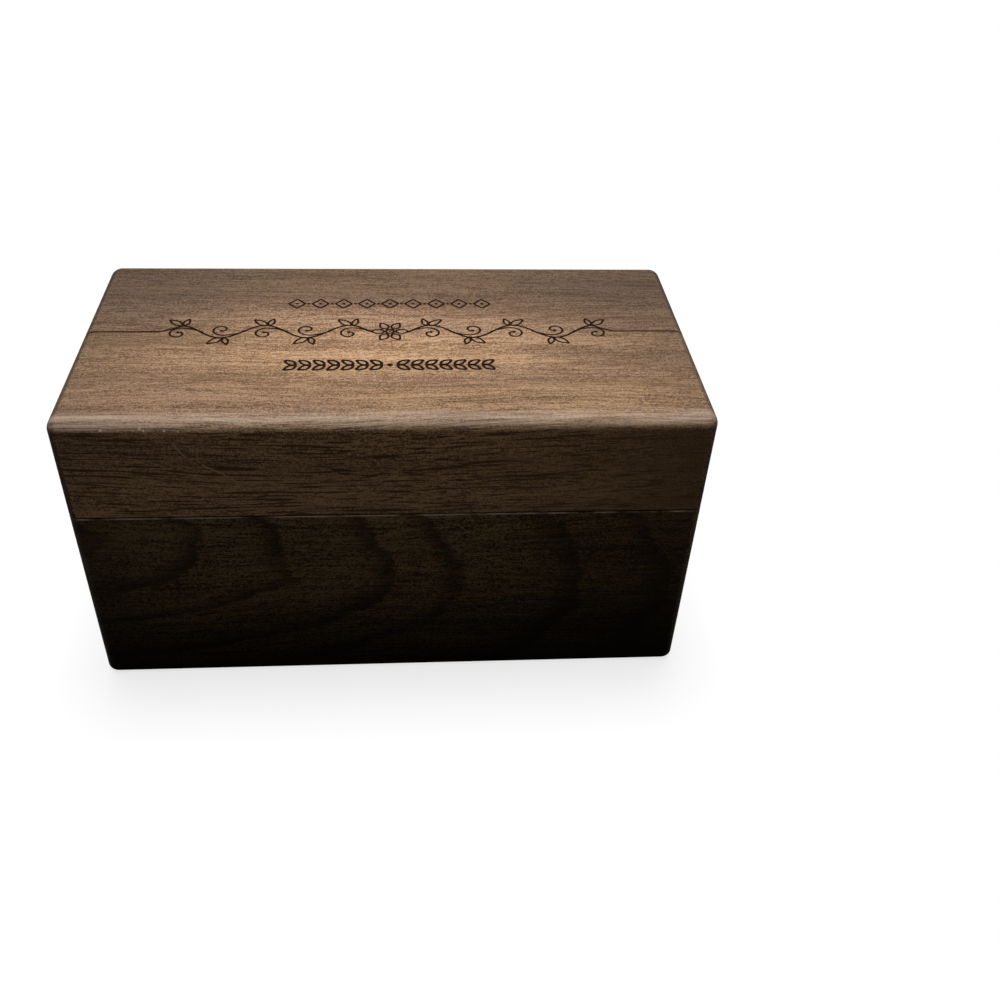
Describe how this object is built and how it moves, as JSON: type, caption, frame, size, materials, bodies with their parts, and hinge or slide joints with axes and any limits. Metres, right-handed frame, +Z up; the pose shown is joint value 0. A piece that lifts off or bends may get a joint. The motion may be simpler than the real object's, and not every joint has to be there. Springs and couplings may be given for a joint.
{
  "type": "sliding lid wooden box",
  "caption": "Small solid walnut keepsake box whose deep engraved lid slides off lengthways on a dovetail, over a velvet ring cushion.",
  "frame": {"origin": "centre of the base's underside", "axes": "+X along the box's length, the way the lid slides open; +Y to the back; +Z up"},
  "size_m": [0.095, 0.048, 0.05],
  "materials": {
    "dark_walnut": "oiled, satin",
    "walnut": "oiled, satin",
    "magnet": "nickel plate",
    "card": "raw pressed card",
    "foam": "open cell foam",
    "velvet": "short velvet pile"
  },
  "bodies": {
    "box_base": {"base": "dark_walnut", "base_magnet_front": "magnet", "base_magnet_back": "magnet", "backing_card": "card", "foam_core_front": "foam", "foam_core_back": "foam", "velvet_cover_front": "velvet", "velvet_cover_back": "velvet"},
    "box_lid": {"lid": "walnut", "lid_magnet_front": "magnet", "lid_magnet_back": "magnet"}
  },
  "joints": [
    {"name": "lid_slide", "type": "slide", "parent": "box_base", "child": "box_lid", "axis": [1, 0, 0], "range_m": [0, 0.096]}
  ]
}
